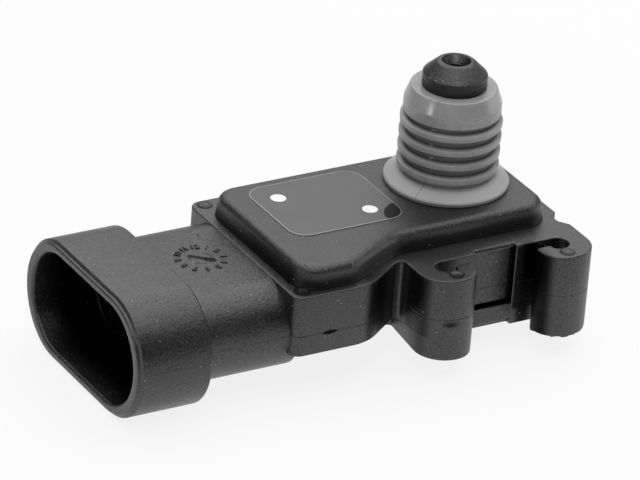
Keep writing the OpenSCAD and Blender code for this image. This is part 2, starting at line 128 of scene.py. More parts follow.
class CoverSizes(bpy.types.PropertyGroup):
    x0: length("Foot's left edge", -30.85)
    x1: length("Foot's right edge", 9.95)
    y0: length("Wide part's front", -15.85)
    y1: length("Narrow part's front", -11.35)
    y2: length("Foot's back edge", 9.6)
    bend_x0: length("First bend", -22.6, "Where the wide front ends")
    bend_x1: length("Second bend", -14, "Where the narrow front starts")
    corner_r: length("Foot's corner radius", 3.6)
    bend_r: length("Radius of the bends", 5.5)
    draft: length("Draft", 0.25, "Lean of the cover's sides")
    edge_r: length("Upper edge's radius", 1.2)
    tip_r: length("Nozzle tip", 2.4, "Radius of the nozzle's flat tip")
    head_r: length("Nozzle head's radius", 4.3)
    cone_h: length("Nozzle cone's height", 1.8)
    stem_r: length("Nozzle stem", 3.3, "Radius of the stem inside the seal")
    passage_r: length("Passage radius", 1)
    sink_r: length("Countersink radius", 1.96)
    sink_h: length("Countersink depth", 1.1)


class SealSizes(bpy.types.PropertyGroup):
    top_r: length("Top face's radius", 5.75)
    band_r: length("Plain band's radius", 6.5)
    band_z: length("Band", 10.4, "Height of the band's lower edge")
    band_h: length("Band height", 1.5)
    rib_r: length("Rib radius", 6.8)
    groove_r: length("Groove radius", 5.9, "Radius at the bottom of the grooves")
    rib_z: length("Top rib", 9.4, "Height of the top rib's upper edge")
    rib_pitch: length("Rib pitch", 2.05, "Distance from rib to rib")
    rib_h: length("Rib height", 0.75, "Height of a rib's outer face")
    rib_count: IntProperty(name="Ribs", default=4, min=2, max=4, description="Number of ribs")
    rim_h: length("Foot rim's height", 0.6)


class FinishColours(bpy.types.PropertyGroup):
    plastic: colour("Housing plastic", (0.0045, 0.0045, 0.0046))
    cover: colour("Cover plastic", (0.004, 0.004, 0.0041))
    rubber: colour("Seal rubber", (0.3, 0.3, 0.3))
    label: colour("Label film", (0.055, 0.055, 0.056))
    paint: colour("White paint marks", (0.9, 0.9, 0.9))
    floor: colour("Pale floor", (0.8, 0.8, 0.8))


class StageSettings(bpy.types.PropertyGroup):
    azimuth: angle("Azimuth", -32.14, "Turn of the camera about Z; zero looks along +Y")
    elevation: angle("Elevation", 27.55, "Height of the camera above the horizon")
    roll: angle("Roll", 4.61, "Roll of the camera about its line of sight")
    distance: length("Distance", 721.4, "From the camera to its target")
    target_x: length("Target X", -24.2, "Point that the camera looks at")
    target_y: length("Target Y", -8.66, "Point that the camera looks at")
    lens: FloatProperty(name="Lens", default=315, min=1, description="Focal length in mm")


def round_corners(corners, inset=0.0, steps=8):
    """Rounds a closed outline of [x, y, radius] rows, listed counter-clockwise, and shrinks it.
    Each vertex moves along the bisector of its two edges by inset / sin(half angle). An arc of
    the corner's radius, less the inset on an outer corner and more on an inner one, then joins
    the two points that lie radius / tan(half angle) from the vertex."""
    c = np.asarray(corners, float)
    p = c[:, :2]
    back = np.roll(p, 1, 0) - p
    ahead = np.roll(p, -1, 0) - p
    back /= np.linalg.norm(back, axis=1)[:, None]
    ahead /= np.linalg.norm(ahead, axis=1)[:, None]
    turn = np.where(ahead[:, 0] * back[:, 1] - ahead[:, 1] * back[:, 0] >= 0, 1.0, -1.0)
    half = np.arccos(np.clip((back * ahead).sum(1), -1, 1)) / 2
    bisector = back + ahead
    bisector /= np.linalg.norm(bisector, axis=1)[:, None]
    p = p + bisector * (turn * inset / np.sin(half))[:, None]
    radius = np.maximum(c[:, 2] - turn * inset, 0.005 * MM)
    centre = p + bisector * (radius / np.sin(half))[:, None]
    first = p + back * (radius / np.tan(half))[:, None] - centre
    start = np.arctan2(first[:, 1], first[:, 0])
    share = np.linspace(0, 1, steps + 1)
    angle = start[:, None] + (turn * (math.pi - 2 * half))[:, None] * share
    arc = np.stack([np.cos(angle), np.sin(angle)], -1) * radius[:, None, None]
    return (centre[:, None, :] + arc).reshape(-1, 2)


def grid_faces(rows, columns, ring):
    """Quads over a grid of rows by columns whose columns close on themselves, and whose rows
    close too if it is a ring."""
    j, i = np.meshgrid(np.arange(rows if ring else rows - 1), np.arange(columns), indexing="ij")
    right = (i + 1) % columns
    up = (j + 1) % rows
    quads = np.stack([j * columns + i, j * columns + right, up * columns + right, up * columns + i])
    return quads.reshape(4, -1).T.tolist()


class Skin:
    """Gathers closed skins and makes one mesh object of them."""

    def __init__(self):
        self.points = []
        self.faces = []
        self.count = 0

    def add(self, grid, ring=False):
        """A skin over a grid of shape (rows, columns, 3), with its first and last rows capped
        unless its rows close into a ring."""
        rows, columns = grid.shape[:2]
        faces = grid_faces(rows, columns, ring)
        if not ring:
            loop = np.arange(columns)
            faces += [loop[::-1].tolist(), (loop + (rows - 1) * columns).tolist()]
        self.add_mesh(grid.reshape(-1, 3), faces)

    def add_mesh(self, points, faces):
        """Points and faces that are ready made."""
        self.faces += [[v + self.count for v in face] for face in faces]
        self.points.append(points)
        self.count += len(points)

    def make(self, name, material, node, sharp=40):
        """Makes the mesh object, shaded smooth with sharp edges past an angle. It rides on the
        root, stands for a node if one is named, and takes its finish from a slot."""
        mesh = bpy.data.meshes.new(name)
        mesh.from_pydata(np.concatenate(self.points), [], self.faces)
        mesh.validate()
        mesh.shade_smooth()
        mesh.set_sharp_from_angle(angle=math.radians(sharp))
        mesh.materials.append(material)
        piece = bpy.data.objects.new(name, mesh)
        bpy.context.scene.collection.objects.link(piece)
        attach(piece, "root")
        if node:
            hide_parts(node)


def stack(corners, levels, steps=8):
    """A grid of outlines above each other. Each level is (height, inset)."""
    rings = []
    for z, inset in levels:
        flat = round_corners(corners, inset, steps)
        rings.append(np.column_stack([flat, np.full(len(flat), z)]))
    return np.array(rings)


def round_edge(z_side, z_face, radius, extra=0.0, steps=5, land=0.4 * MM):
    """Levels of a quarter round from a side wall to a flat face, then a narrow flat land that
    keeps the face's shading flat. The inset is radius * (1 - cos a), the height radius * sin a."""
    a = np.linspace(0, math.pi / 2, steps)
    sign = math.copysign(1, z_face - z_side)
    z = z_face - sign * radius * (1 - np.sin(a))
    levels = list(zip(z, extra + radius * (1 - np.cos(a))))
    levels.append((z_face, extra + radius + land))
    return levels if sign > 0 else levels[::-1]


def lathe(profile, steps=144):
    """A grid that turns a profile of (radius, height) about Z: x = r cos t, y = r sin t."""
    t = np.linspace(0, 2 * math.pi, steps, endpoint=False)
    r = profile[:, 0, None]
    z = np.broadcast_to(profile[:, 1, None], (len(profile), steps))
    return np.stack([r * np.cos(t), r * np.sin(t), z], -1)


def race(profile, straight, middle_y, middle_z, steps=40):
    """A grid that carries a profile of (radius, x) round a path with two straight sides and
    full-round ends: a half circle about each end's middle, straight / 2 either side. Each point
    of the profile has its own straight length and its own middle height."""
    t = np.linspace(-math.pi / 2, math.pi / 2, steps)
    angle = np.concatenate([t, t + math.pi])
    shift = straight[:, None] * np.repeat([0.5, -0.5], steps)
    r = profile[:, 0, None]
    x = np.broadcast_to(profile[:, 1, None], (len(profile), len(angle)))
    z = middle_z[:, None] + r * np.sin(angle)
    return np.stack([x, middle_y + shift + r * np.cos(angle), z], -1)


def rectangle(low_x, low_y, high_x, high_y, radius):
    """The corners of a rectangle, counter-clockwise, all with one radius."""
    return [[low_x, low_y, radius], [high_x, low_y, radius], [high_x, high_y, radius],
            [low_x, high_y, radius]]


class Value:
    """A shader socket with operators: each adds a Math node."""

    def __init__(self, tree, socket):
        self.tree = tree
        self.socket = socket

    def math(self, operation, *others):
        node = self.tree.nodes.new("ShaderNodeMath")
        node.operation = operation
        for socket, value in zip(node.inputs, (self,) + others):
            connect(self.tree, socket, value)
        return Value(self.tree, node.outputs[0])

    def __add__(self, other):
        return self.math("ADD", other)

    __radd__ = __add__

    def __sub__(self, other):
        return self.math("SUBTRACT", other)

    def __rsub__(self, other):
        return (self * -1) + other

    def __mul__(self, other):
        return self.math("MULTIPLY", other)

    __rmul__ = __mul__

    def __abs__(self):
        return self.math("ABSOLUTE")

    def most(self, other):
        """The larger of this value and another."""
        return self.math("MAXIMUM", other)

    def between(self, low, high):
        """0 below low, 1 above high and smooth between; falls instead where low is above high."""
        node = self.tree.nodes.new("ShaderNodeMapRange")
        node.interpolation_type = "SMOOTHSTEP"
        for key, value in (("Value", self), ("From Min", low), ("From Max", high)):
            connect(self.tree, node.inputs[key], value)
        return Value(self.tree, node.outputs["Result"])


def connect(tree, socket, value):
    """Links a Value to a socket, or sets a plain number or colour on it."""
    if isinstance(value, Value):
        tree.links.new(value.socket, socket)
    else:
        socket.default_value = value


class Finish:
    """A material under construction, with its pattern read from Object coordinates."""

    def __init__(self, name):
        self.material = bpy.data.materials.new(name)
        self.material.use_nodes = True
        self.tree = self.material.node_tree
        self.shader = self.tree.nodes["Principled BSDF"]
        self.place = self.node("ShaderNodeTexCoord", "Object")
        axes = self.tree.nodes.new("ShaderNodeSeparateXYZ")
        connect(self.tree, axes.inputs[0], self.place)
        self.x, self.y, self.z = (Value(self.tree, s) for s in axes.outputs)

    def node(self, kind, output, **inputs):
        """Adds a node, sets its inputs and gives one output."""
        node = self.tree.nodes.new(kind)
        for key, value in inputs.items():
            connect(self.tree, node.inputs[key.replace("_", " ")], value)
        return Value(self.tree, node.outputs[output])

    def noise(self, size, detail=2.0, rough=0.5):
        """Noise whose features are about as large as size, in metres."""
        return self.node("ShaderNodeTexNoise", "Fac", Vector=self.place, Scale=1 / size,
                         Detail=detail, Roughness=rough)

    def specks(self, spacing, size):
        """Round specks, one at the middle of each cell of a random pattern."""
        near = self.node("ShaderNodeTexVoronoi", "Distance", Vector=self.place, Scale=1 / spacing)
        return near.between(size / spacing, size / spacing * 0.5)

    def mix(self, factor, a, b):
        """A colour mixed from a to b."""
        node = self.tree.nodes.new("ShaderNodeMix")
        node.data_type = "RGBA"
        for socket, value in zip((node.inputs[0], node.inputs[6], node.inputs[7]), (factor, a, b)):
            connect(self.tree, socket, value)
        return Value(self.tree, node.outputs[2])

    def set(self, **inputs):
        for key, value in inputs.items():
            connect(self.tree, self.shader.inputs[key.replace("_", " ")], value)

    def bump(self, height, distance):
        """A bump that feeds the shader's normal."""
        normal = self.node("ShaderNodeBump", "Normal", Height=height, Distance=distance,
                           Strength=1.0)
        connect(self.tree, self.shader.inputs["Normal"], normal)


def shade(value, factor):
    """A colour made lighter or darker."""
    return tuple(min(1.0, v * factor) for v in value) + (1.0,)


def norm(*parts):
    """The length of a vector: the square root of the sum of its parts' squares."""
    total = parts[0] * parts[0]
    for part in parts[1:]:
        total = total + part * part
    return total.math("SQRT")


def axis_distance(finish, x=0.0, y=0.0):
    """Distance from an upright axis."""
    return norm(finish.x - x, finish.y - y)


def near_face(finish, face_z):
    """1 from just below a level face upwards, and 0 further down."""
    return finish.z.between(face_z - 0.4 * MM, face_z - 0.2 * MM)


def parting_line(finish, height, middle_y, shown_rows):
    """The moulding's parting line at one height. It shows where a row of (x, reach) holds: past
    that x and at least that far, front to back, from the socket's middle. So it stays off the
    walls inside the socket."""
    waver = (finish.noise(9 * MM) - 0.5) * (0.12 * MM)
    line = abs(finish.z - height + waver).between(0.08 * MM, 0.03 * MM)
    off = abs(finish.y - middle_y)
    shown = 0.0
    for start_x, reach in shown_rows:
        part = finish.x.between(start_x, start_x + 0.1 * MM) * off.between(reach, reach + 0.1 * MM)
        shown = part.most(shown)
    return line * shown * (0.3 + 0.7 * finish.noise(2.2 * MM).between(0.4, 0.6))


def bar_mark(finish, x, y, angle, start, stop, width, face_z):
    """A straight groove on faces above a height: near the line through a point at an angle,
    between two distances from that point. Distance to a line's part is the length of what is
    left of a vector once its share along the line, kept between the two ends, is taken away."""
    dx = finish.x - x
    dy = finish.y - y
    along = dx * math.cos(angle) + dy * math.sin(angle)
    across = dy * math.cos(angle) - dx * math.sin(angle)
    past = along - along.most(start).math("MINIMUM", stop)
    return norm(past, across).between(width, width * 0.6) * near_face(finish, face_z)


def ring_mark(finish, x, y, radius, face_z, fill):
    """A thin ring on faces above a height. It is broken up by noise, unless a fill is given that
    darkens the disc inside it as well."""
    distance = axis_distance(finish, x, y)
    ring = abs(distance - radius).between(0.2 * MM, 0.08 * MM)
    if fill:
        ring = ring.most(distance.between(radius, radius * 0.8) * fill)
    else:
        ring = ring * finish.noise(1.1 * MM).between(0.44, 0.52)
    return ring * near_face(finish, face_z)


def smudge(finish, grain, x, y, z, size, stretch, crisp):
    """A dark spot with a grainy outline, smaller along an axis that is stretched more, and
    darker and harder at its rim the nearer crisp is to 1."""
    parts = [(axis - middle) * factor for axis, middle, factor in
             zip((finish.x, finish.y, finish.z), (x, y, z), stretch)]
    spot = norm(*parts) + (grain - 0.5) * (0.5 * size)
    return spot.between(size, crisp * size) * (0.7 + 0.4 * crisp)


def socket_shade_and_lip_highlight(finish, mouth, middle_y, middle_z, straight, radius):
    """Painted shade in the inside of a socket with full-round ends, and a painted highlight on its
    mouth's lip.
    """
    past = (abs(finish.y - middle_y) - straight / 2).most(0.0)
    up = finish.z - middle_z
    away = norm(past, up) - radius
    deep = finish.x.between(mouth, mouth + 5 * MM) * away.between(0.3 * MM, 0.1 * MM)
    deep = deep * finish.x.between(mouth + 10.4 * MM, mouth + 9.8 * MM)
    lip = abs(away - 0.12 * MM).between(0.16 * MM, 0.05 * MM)
    lip = lip * finish.x.between(mouth + 0.5 * MM, mouth + 0.3 * MM)
    lip = lip * up.between(-6 * MM, -4 * MM) * (finish.y - middle_y).between(11 * MM, 8 * MM)
    return deep, lip


def inside_box(finish, spans, soft):
    """1 inside a box, given as its span along each axis, and falling to 0 over a soft distance
    outside it."""
    share = 1.0
    for axis, (start, stop) in zip((finish.x, finish.y, finish.z), spans):
        share = axis.between(start - soft, start) * share
        share = axis.between(stop + soft, stop) * share
    return share


def moulded_plastic(name, base, sheen, line=None, hollow=None, polish=None, painted_shade_boxes=(), rings=(),
                    grooves=(), smudges=()):
    """Black moulding with a fine spark-eroded skin, cloudy gloss and a few pale specks. A mask
    turns it black and metallic where it gives back no light: in the pores, and at the marks that
    are given. Those are a parting line darkened with painted shade, painted shade in the hollow of
    a socket, whose lip gets a painted highlight, boxes of painted shade of (x span, y span, z span,
    soft edge, share), rings, grooves darkened with painted shade and smudges. A polish of (radius,
    lowest z) makes it glossier round the Z axis."""
    finish = Finish(name)
    cloud = finish.noise(5 * MM, 3)
    grain = finish.noise(0.2 * MM, 3, 0.6)
    pores = finish.noise(0.5 * MM)
    specks = finish.specks(0.9 * MM, 0.1 * MM) * finish.noise(2.6 * MM).between(0.44, 0.6)
    tone = finish.mix(cloud.between(0.3, 0.75), shade(base, 0.8), shade(base, 1.25))
    tone = finish.mix(grain.between(0.45, 0.8), tone, shade(base, 4.5))
    height = grain + 0.8 * pores
    dark = grain.between(0.52, 0.32) * 0.5
    # The parting line: a shallow groove in the bump, darkened with painted shade.
    if line:
        clear_x = HOUSING_LOW.x + 22 * MM
        seam = parting_line(finish, *line)
        seam = seam * (0.4 + 0.6 * finish.x.between(clear_x, clear_x + 2 * MM))
        dark = dark.most(seam * 0.8)
        height = height - seam * 2
    # Painted shade: boxes where neighbouring walls keep the light off the faces.
    for *spans, soft, share in painted_shade_boxes:
        dark = dark.most(inside_box(finish, spans, soft) * share)
    # Painted shade inside the socket, and a painted highlight on the inner edge of its lip.
    if hollow:
        deep, lip = socket_shade_and_lip_highlight(finish, *hollow)
        dark = dark.most(deep * 0.85)
        tone = finish.mix(lip * 0.8, tone, (0.07, 0.07, 0.07, 1.0))
    for ring in rings:
        dark = dark.most(ring_mark(finish, *ring) * 0.75)
    # Grooves: a dip in the bump, darkened with painted shade.
    for groove in grooves:
        cut = bar_mark(finish, *groove)
        dark = dark.most(cut)
        height = height - cut * 4
    for spot in smudges:
        dark = dark.most(smudge(finish, grain, *spot))
    rough = 0.16 * grain + 0.12 * cloud + (sheen - 0.14)
    if polish:
        radius, low_z = polish
        smooth = axis_distance(finish).between(radius + 0.05 * MM, radius)
        rough = rough - smooth * finish.z.between(low_z - 0.1 * MM, low_z) * 0.2
    tone = finish.mix(dark, tone, BLACK)
    finish.set(Base_Color=finish.mix(specks, tone, (0.35, 0.35, 0.35, 1)),
               Metallic=dark * (1 - specks), Specular_IOR_Level=0.95, Roughness=rough)
    finish.bump(height, 0.05 * MM)
    return finish.material


def seal_rubber(base, ribs_low, ribs_high, groove_r, rim_h):
    """Satin grey rubber with faint mottling, fine dust and a mould line down its foot. The
    grooves between the ribs are darkened with painted shade, with a few pale nicks; the foot's cone
    is lightened with painted light above its rim, which is darkened with painted shade; and the
    shoulder is glossier."""
    finish = Finish("seal_rubber")
    cloud = finish.noise(2.5 * MM, 3)
    grain = finish.noise(0.3 * MM, 3)
    radius = axis_distance(finish)
    ribbed = finish.z.between(ribs_low, ribs_low + 0.4 * MM)
    ribbed = ribbed * finish.z.between(ribs_high, ribs_high - 0.1 * MM)
    # Painted shade in the grooves between the ribs.
    deep = radius.between(groove_r + 0.65 * MM, groove_r + 0.15 * MM) * ribbed
    # Painted light on the foot's cone, which faces up.
    foot = radius.between(groove_r + 0.3 * MM, groove_r + 1.2 * MM)
    foot = foot * finish.z.between(ribs_low + 0.2 * MM, ribs_low - 0.8 * MM)
    # Painted shade on the foot's upright rim.
    rim = finish.z.between(rim_h - 0.05 * MM, rim_h - 0.2 * MM)
    seam = math.radians(-150)
    side = finish.x * math.sin(seam) - finish.y * math.cos(seam)
    facing = (finish.x * math.cos(seam) + finish.y * math.sin(seam)).between(0, MM)
    line = abs(side).between(0.09 * MM, 0.03 * MM) * facing
    line = line * finish.z.between(ribs_low + 0.4 * MM, ribs_low + 0.2 * MM)
    nick = abs(side + 0.5 * MM).between(0.4 * MM, 0.2 * MM) * facing
    nick = nick * deep * finish.noise(0.6 * MM).between(0.52, 0.56)
    tone = finish.mix(cloud.between(0.25, 0.8), shade(base, 0.92), shade(base, 1.1))
    for factor, lightness in ((grain.between(0.5, 0.75) * 0.6, 1.3), (foot, 1.25), (rim, 0.7),
                              (deep * 0.75, 0.12), (nick * 0.7, 1.2), (line * 0.55, 0.35)):
        tone = finish.mix(factor, tone, shade(base, lightness))
    dust = finish.specks(1.7 * MM, 0.06 * MM) * finish.noise(4 * MM).between(0.5, 0.6)
    polished = finish.z.between(ribs_high + 0.6 * MM, ribs_high + 1.4 * MM) * 0.16
    finish.set(Base_Color=finish.mix(dust, tone, (0.55, 0.55, 0.55, 1)),
               Roughness=0.38 + 0.12 * cloud - 0.06 * grain - polished, Specular_IOR_Level=0.5)
    finish.bump(0.4 * grain - line, 0.012 * MM)
    return finish.material


def label_film(base, low, high, corner):
    """Thin film with a painted highlight along its cut edge and one dark, unreflecting corner
    patch. The edge is where the distance to a rectangle with round corners nears zero."""
    finish = Finish("label_film")
    middle = (low + high) / 2
    half = (high - low) / 2
    dx = abs(finish.x - middle.x) - (half.x - corner)
    dy = abs(finish.y - middle.y) - (half.y - corner)
    outside = norm(dx.most(0.0), dy.most(0.0))
    inside = dx.most(dy).math("MINIMUM", 0.0)
    # Painted highlight along the film's cut edge.
    edge = (outside + inside - corner).between(-0.2 * MM, -0.1 * MM)
    cloud = finish.noise(5 * MM, 3)
    grain = finish.noise(0.2 * MM, 3)
    tone = finish.mix(cloud.between(0.3, 0.75), shade(base, 0.95), shade(base, 1.08))
    # A dark patch at one corner, made black and metallic so that it gives back no light.
    bite = axis_distance(finish, high.x + 0.8 * MM, low.y + 0.2 * MM)
    patch = (bite + (cloud - 0.5) * (0.8 * MM)).between(3.9 * MM, 3.75 * MM)
    tone = finish.mix(patch, tone, BLACK)
    finish.set(Base_Color=finish.mix(edge, tone, (0.3, 0.3, 0.3, 1)), Metallic=patch * 0.85,
               Roughness=0.42 + 0.1 * grain, Specular_IOR_Level=0.8)
    finish.bump(grain, 0.004 * MM)
    return finish.material


def plain_finish(name, base, roughness, metallic=0.0, grain_size=0.3 * MM):
    """A quiet finish for small pieces: slight mottling, and gloss and bump from one grain."""
    finish = Finish(name)
    grain = finish.noise(grain_size, 3)
    tone = finish.mix(grain.between(0.25, 0.8), shade(base, 0.88), shade(base, 1.12))
    finish.set(Base_Color=tone, Roughness=roughness + 0.14 * grain, Metallic=metallic)
    finish.bump(grain, 0.004 * MM)
    return finish.material


def body_outline(s):
    """The housing's outline from above, counter-clockwise from its front left corner: the wide
    front wall, the valley, the two hooked lugs with the panel between them, and the other walls."""
    right_x = s.lug_x + s.lug_pitch / 2 + s.lug_r
    lip_y = s.lug_wall_y - s.slot_w
    soft = 0.12 * MM
    nose_r = 0.6 * MM
    lugs = []
    for side in (-1, 1):
        x = s.lug_x + side * s.lug_pitch / 2
        end_x = x - side * 0.3 * MM
        near = end_x - side * s.slot_r
        far = end_x + side * s.slot_r
        low = s.lug_y + 0.2 * MM - s.slot_r
        tip = x - side * s.lug_r
        hook = [[x + side * s.lug_r, s.lug_y - s.lug_r, s.lug_r - 0.01 * MM],
                [tip, s.lug_y - s.lug_r, s.lug_r - nose_r - 0.05 * MM],
                [tip, lip_y, nose_r],
                [near, lip_y, 0.3 * MM], [near, low, 0.8 * MM], [far, low, s.slot_r],
                [far, s.lug_wall_y, s.slot_r - 0.05 * MM],
                [s.lug_x + side * s.panel_w / 2, s.lug_wall_y, soft],
                [s.lug_x + side * s.panel_w / 2, s.lug_wall_y + s.panel_d, soft]]
        lugs += hook if side < 0 else hook[::-1]
    waist = s.lug_x - s.lug_pitch / 2 - s.lug_r
    return ([[s.body_x0, s.body_y0, 1.6 * MM], [s.bend_x, s.body_y0, 7 * MM],
             [waist - 1.1 * MM, s.waist_y, 0.5 * MM], [waist, s.waist_y, 0.5 * MM]] + lugs
            + [[right_x, s.dip_y - 1.9 * MM, 0.4 * MM],
               [right_x - 1.25 * s.dip_d, s.dip_y, 1.4 * MM],
               [right_x, s.dip_y + 1.9 * MM, 0.4 * MM], [right_x, s.body_y2, 1.6 * MM],
               [s.body_x0, s.body_y2, 1.6 * MM]])


def lower_outline(s):
    """The outline below the wide part: the same lugs and right side, set in behind them."""
    full = body_outline(s)
    waist = s.lug_x - s.lug_pitch / 2 - s.lug_r
    left = s.body_x0 + MM
    back = s.body_y2 - MM
    front = -9 * MM
    return ([[left, front, 1.6 * MM], [waist + 1.3 * MM, front, 0.5 * MM]] + full[4:-2]
            + [[full[-2][0], back, 1.6 * MM], [left, back, 1.6 * MM]])


# Marks that ejector pins leave on the flange: middle x, middle y and radius, in mm.
PIN_MARKS = ((-30.35, -15.25, 1.0), (-30.35, 10.55, 0.95), (-9.4, -18.9, 0.95), (7.4, -19.0, 0.95))


class SENSOR_OT_housing(bpy.types.Operator):
    """Make the housing: body, hooked lugs, sunk panel and plug socket"""
    bl_idname = "sensor.housing"
    bl_label = "Housing"

    def execute(self, context):
        s = context.scene.sensor_housing
        p = context.scene.sensor_socket
        side_z = s.flange_z - s.side_h
        low_z = s.flange_z - s.body_h
        skin = Skin()
        top = round_edge(side_z, s.flange_z, s.edge_r)
        foot = round_edge(s.flange_z, side_z, 0.02 * MM)
        skin.add(stack(body_outline(s), foot + top))
        foot = round_edge(s.flange_z, low_z, s.edge_r)
        skin.add(stack(lower_outline(s), foot + [(side_z + s.edge_r + 0.2 * MM, 0.002 * MM)]))
        skin.add(self.panel_floor(s, side_z))
        skin.add(self.panel_plate(s, side_z))
        skin.add(self.socket(s, p))
        pins = [(x * MM, y * MM, radius * MM, s.flange_z, 0.3) for x, y, radius in PIN_MARKS]
        for pin in pins:
            skin.add(self.pin_mark(*pin[:4]))
        skin.add(self.flash(s, low_z))
        material = self.plastic(context, s, p, pins, side_z, low_z)
        skin.make("housing_shell", material, "housing")
        return {"FINISHED"}

    def plastic(self, context, s, p, pins, side_z, low_z):
        """The housing's finish, with its parting line, boxes of painted shade and marks."""
        mouth = HOUSING_LOW.x
        half = p.collar_w / 2
        collar = mouth + p.collar_len
        line = (s.parting_z, p.middle_y, ((mouth + 0.7 * MM, half - MM),
                                          (collar, half - p.neck_step - MM),
                                          (s.body_x0 - MM, 0.0)))
        # The socket's hollow, for painted shade inside it and a painted highlight on its lip.
        hollow = (mouth, p.middle_y, p.middle_z, p.collar_w - p.collar_h, p.collar_h / 2 - p.wall)
        top = p.middle_z + p.neck_rise + p.collar_h / 2 - p.neck_step
        wheel = (p.wheel_x, p.wheel_y, p.arrow_turn)
        arrow = ((*wheel, -1.4 * MM, 1.4 * MM, 0.42 * MM, top),
                 (*wheel, 1.1 * MM, 1.5 * MM, 0.62 * MM, top))
        rings = pins + [(p.wheel_x, p.wheel_y, 1.5 * MM, top, 0),
                        (p.wheel_x + 3.1 * MM, p.wheel_y + 5.5 * MM, 0.5 * MM, top, 0)]
        smudges = ((-10.7 * MM, s.lug_y - s.lug_r, s.parting_z - 0.7 * MM,
                    1.3 * MM, (0.75, 0.3, 2), 0.2),
                   (-26.8 * MM, s.body_y0, s.parting_z - 0.05 * MM,
                    1.1 * MM, (0.85, 0.3, 3.2), 0.7))
        left = s.lug_x - s.panel_w / 2
        right = s.lug_x + s.panel_w / 2
        flank = s.lug_x + s.lug_pitch / 2 - s.lug_r
        far_flank = flank - s.lug_pitch
        wall = s.lug_wall_y
        lug_span = (wall - 12 * MM, wall)
        sunk_span = (wall + 0.1 * MM, wall + 2 * MM)
        under = s.flange_z - 0.5 * MM
        # Boxes of painted shade on faces that neighbouring walls keep from the light.
        painted_shade_boxes = (
            # The collar's back edge.
            ((collar - 0.2 * MM, collar + 0.05 * MM), (p.middle_y - half, p.middle_y - 8 * MM),
             (p.middle_z + 1.5 * MM, p.middle_z + half), 0.12 * MM, 0.75),
            # The wall right of the panel.
            ((right + 0.4 * MM, right + 3.5 * MM), (wall - 0.3 * MM, wall + MM),
             (low_z + 2.4 * MM, under), 0.4 * MM, 0.85),
            # The left flanks of the two lugs.
            ((flank - 0.5 * MM, flank + 0.4 * MM), lug_span, (low_z, under), 1.2 * MM, 0.9),
            ((far_flank - 0.5 * MM, far_flank + 0.3 * MM), lug_span, (low_z, under), 0.9 * MM, 0.7),
            # The frame right of the panel's plate and below it.
            ((right - 0.65 * MM, right), sunk_span, (side_z, under), 0.05 * MM, 0.9),
            ((left, right), sunk_span, (side_z, side_z + 0.6 * MM), 0.05 * MM, 0.9),
            # The bend of the front wall.
            ((-20.5 * MM, -16 * MM), (s.body_y0 + 0.3 * MM, wall), (low_z, under), 1.4 * MM, 0.85))
        return moulded_plastic("housing_plastic", context.scene.sensor_colours.plastic, 0.37, line,
                               hollow, None, painted_shade_boxes, rings, arrow, smudges)

    def pin_mark(self, x, y, radius, face_z):
        """The low round mark that an ejector pin leaves: a disc in a shallow ring."""
        steps = ((0, -0.2), (0, 0.03), (0.03, 0.06), (0.16, 0.06), (0.22, 0.01))
        profile = [[radius - inset * MM, face_z + rise * MM] for inset, rise in steps]
        return lathe(np.array(profile + [[0.01 * MM, profile[-1][1]]]), 40) + [x, y, 0]

    def flash(self, s, low_z):
        """The ragged flash that hangs from the right lug's lower edge: a thin curved strip whose
        depth wanders at random."""
        count, knots, deepest = 90, 31, 0.24 * MM
        angles = np.radians(np.linspace(-175, -15, count))
        depth = np.random.default_rng(5).uniform(0.05, 1.0, knots)
        depth = np.interp(np.linspace(0, knots - 1, count), np.arange(knots), depth)
        depth = depth ** 1.5 * deepest
        x = s.lug_x + s.lug_pitch / 2
        root = 0.1 * MM
        rows = []
        for radius, drop in ((3.92, 0), (3.92, 1), (3.8, 1), (3.8, 0), (3.92, 0)):
            rows.append(np.stack([x + radius * MM * np.cos(angles),
                                  s.lug_y + radius * MM * np.sin(angles),
                                  low_z + root - drop * (depth + root)], 1))
        return np.stack(rows)[:, ::-1]

    def panel_plate(self, s, side_z):
        """The low plate inside the sunk panel, a step in from its right and lower edges."""
        left = s.lug_x - s.panel_w / 2 - 0.1 * MM
        right = s.lug_x + s.panel_w / 2 - 0.6 * MM
        front = s.lug_wall_y + s.panel_d - 0.3 * MM
        return stack(rectangle(left, front, right, front + MM, 0.05 * MM),
                     [(side_z + 0.55 * MM, 0.05 * MM), (side_z + 0.6 * MM, 0),
                      (s.flange_z - 0.4 * MM, 0), (s.flange_z - 0.3 * MM, 0.1 * MM)], 2)

    def panel_floor(self, s, side_z):
        """The wall under the sunk panel, which stands as far out as the wall beside it."""
        half = s.panel_w / 2 + 0.1 * MM
        low_z = s.flange_z - s.body_h + 0.85 * MM
        front = s.lug_wall_y
        return stack(rectangle(s.lug_x - half, front, s.lug_x + half, front + 2 * MM, 0.05 * MM),
                     [(low_z, 0.1 * MM), (low_z + 0.1 * MM, 0), (side_z - 0.1 * MM, 0),
                      (side_z, 0.1 * MM)], 2)

